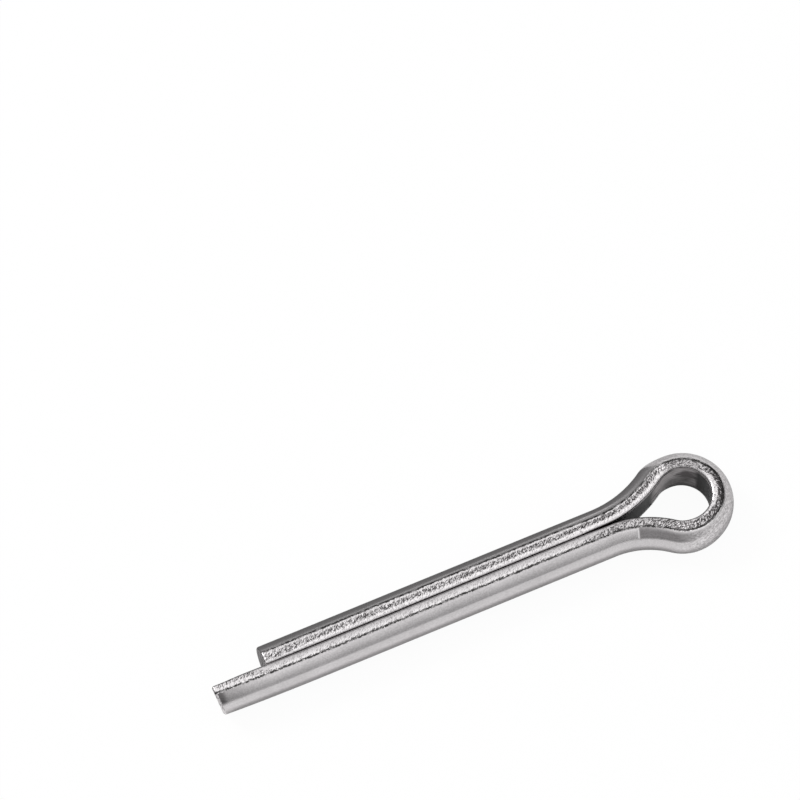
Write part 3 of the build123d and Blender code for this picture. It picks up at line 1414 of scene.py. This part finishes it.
@dataclass
class Studio:
    """A white table under one wide soft light, and the camera."""

    table_size: float = 1.6
    table_colour: str = "#F2F2F2"
    shade_card_colour: str = "#8A8A8A"
    card_edges: tuple[float, float, float, float] = (-790 * MM, 4.5 * MM, 1.0 * MM, 790 * MM)
    card_lift: float = 0.02 * MM
    white_to_eye: float = 0.95
    white_to_gloss: float = 0.02
    dimmest: float = 0.18
    front: Glow = Glow((-0.3, -0.95, 0.0), (-0.1, 0.6), 0.31)
    broad: Glow = Glow((-0.2, -0.3, 0.93), (0.05, 0.55), 0.68, height=(0.0, 1.1))
    behind: Glow = Glow((0.15, 1.0, 0.08), (0.88, 0.99), 0.26)
    overhead: Glow = Glow((0.1, 0.3, 0.95), (0.8, 0.97), 0.35)
    key_power: float = 4.8
    key_size: float = 0.42
    key_distance: float = 1.0
    key_direction: tuple[float, float, float] = (-0.48, 0.58, 0.72)
    azimuth: float = radians(-23.72)
    elevation: float = radians(67.0)
    lens: float = 300.0
    sensor: float = 36.0
    clip: Range = (0.05, 20.0)
    view_width: float = 55.51 * MM
    shift_right: float = -19.59 * MM
    shift_up: float = 7.06 * MM

    def sheet(
        self, name: str, finish: bpy.types.Material, edges: tuple[float, float, float, float], level: float
    ) -> bpy.types.Object:
        """Lays a flat rectangular sheet.

        Args:
            name: Its name.
            finish: Its material.
            edges: The x of its west and east edges, and the y of its south and north edges.
            level: Its height.

        Returns:
            The sheet, which still has to be marked as stage.
        """
        west, east, south, north = edges
        corners = [(west, south), (east, south), (east, north), (west, north)]
        mesh = bpy.data.meshes.new(name)
        mesh.from_pydata([(x, y, level) for x, y in corners], [], [(0, 1, 2, 3)])
        mesh.materials.append(finish)
        return add_object(name, mesh)

    def table(self, level: float) -> bpy.types.Object:
        """Lays the table.

        Args:
            level: The height of its top.

        Returns:
            The table, marked as stage.
        """
        half = self.table_size / 2
        made = self.sheet("table", self.table_finish(), (-half, half, -half, half), level)
        made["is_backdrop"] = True
        return made

    def card(self, level: float) -> bpy.types.Object:
        """Lays a grey card on the table behind the legs, which only the metal sees: a painted reflection of
        shade on their far side.

        Args:
            level: The height of the table's top.

        Returns:
            The card, marked as stage.
        """
        # A sheet that stands in for shade: the metal shows it as a painted reflection of shade.
        paper, tree = start_material("reflected_shade_grey")
        board = add_node(tree, "BsdfDiffuse", {"Color": self.shade_card_colour})[0]
        add_node(tree, "OutputMaterial", {"Surface": board})
        made = self.sheet("reflected_shade_card", paper, self.card_edges, level + self.card_lift)
        made.visible_camera = made.visible_diffuse = made.visible_shadow = False
        made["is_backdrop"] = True
        return made

    def table_finish(self) -> bpy.types.Material:
        """Builds the table's finish: matt white board, which looks plain white but still takes a soft shadow.

        Returns:
            The material. In the metal it shows as the lit board, with a trace of plain white.
        """
        made, tree = start_material("matt_white_board")
        glossy = add_node(tree, "LightPath")["Is Glossy Ray"]
        to_eye = add_node(tree, "Math", [seen_plainly(tree), self.white_to_eye], operation="MULTIPLY")[0]
        to_gloss = add_node(tree, "Math", [glossy, self.white_to_gloss], operation="MULTIPLY")[0]
        share = add_node(tree, "Math", [to_eye, to_gloss], operation="MAXIMUM")[0]
        board = add_node(tree, "BsdfDiffuse", {"Color": self.table_colour})[0]
        plain = add_node(tree, "Emission", {"Color": WHITE, "Strength": 1.0})[0]
        mixed = add_node(tree, "MixShader", [share, board, plain])[0]
        add_node(tree, "OutputMaterial", {"Surface": mixed})
        return made

    def sky(self) -> bpy.types.World:
        """Builds the world: white to the eye, and otherwise a broad soft light overhead that fades to grey.

        Returns:
            The world.
        """
        world = bpy.data.worlds.new("studio")
        world.use_nodes = True
        bpy.context.scene.world = world
        tree = world.node_tree
        tree.nodes.clear()
        way = add_node(tree, "TexCoord")["Generated"]
        way = add_node(tree, "VectorMath", [way], operation="NORMALIZE")[0]
        light = self.dimmest
        for glow in (self.front, self.broad, self.behind, self.overhead):
            light = glow.add(tree, way, light)
        soft = add_node(tree, "Background", {"Color": WHITE, "Strength": light})[0]
        plain = add_node(tree, "Background", {"Color": WHITE, "Strength": 1.0})[0]
        mixed = add_node(tree, "MixShader", [seen_plainly(tree), soft, plain])[0]
        add_node(tree, "OutputWorld", {"Surface": mixed})
        return world

    def key_light(self, target: Vector) -> bpy.types.Object:
        """Hangs the soft box that gives the pin its shadow.

        Args:
            target: The point that it faces.

        Returns:
            The lamp.
        """
        lamp = bpy.data.lights.new("soft_box", "AREA")
        lamp.shape = "DISK"
        lamp.size = self.key_size
        lamp.energy = self.key_power
        made = add_object("soft_box", lamp)
        way = Vector(self.key_direction).normalized()
        made.location = target + way * self.key_distance
        made.rotation_euler = (-way).to_track_quat("-Z", "Y").to_euler()
        return made

    def camera(self, eye_x: float) -> bpy.types.Object:
        """Sets up the camera, with a long lens from steeply above.

        Args:
            eye_x: The x of the eye's centre, from which the view is laid out.

        Returns:
            The camera.
        """
        data = bpy.data.cameras.new("camera")
        data.lens, data.sensor_width = self.lens, self.sensor
        made = add_object("camera", data)
        turn, lift = self.azimuth, self.elevation
        back = Vector((sin(turn) * cos(lift), -cos(turn) * cos(lift), sin(lift)))
        right = Vector((cos(turn), sin(turn), 0.0))
        up = back.cross(right)
        aim = Vector((eye_x, 0.0, 0.0)) + right * self.shift_right + up * self.shift_up
        distance = self.view_width * self.lens / self.sensor
        place = Matrix((right, up, back)).transposed().to_4x4()
        place.translation = aim + back * distance
        made.matrix_world = place
        data.clip_start, data.clip_end = (distance * share for share in self.clip)
        bpy.context.scene.camera = made
        return made


def main() -> None:
    """Builds the pin and the studio round it, and reports each piece."""
    logging.basicConfig(level=logging.INFO, format="%(name)s: %(message)s")
    pin = SplitPin()
    wire = pin.build()
    pin.dress(wire)
    LOG.info("%s: %d faces, %d finishes", wire.name, len(wire.data.polygons), len(wire.data.materials))
    low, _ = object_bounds()
    studio = Studio()
    LOG.info("%s: level %.3f mm", studio.table(low.z).name, low.z / MM)
    LOG.info("%s: lifted %.3f mm", studio.card(low.z).name, studio.card_lift / MM)
    LOG.info("%s: %d nodes", studio.sky().name, len(bpy.context.scene.world.node_tree.nodes))
    LOG.info("%s: %.1f W", studio.key_light(Vector((0.0, 0.0, 0.0))).name, studio.key_power)
    LOG.info("%s: lens %.0f mm", studio.camera(pin.path().eye_x).name, studio.lens)
    bpy.context.scene.view_settings.view_transform = "Standard"


if __name__ == "__main__":
    main()
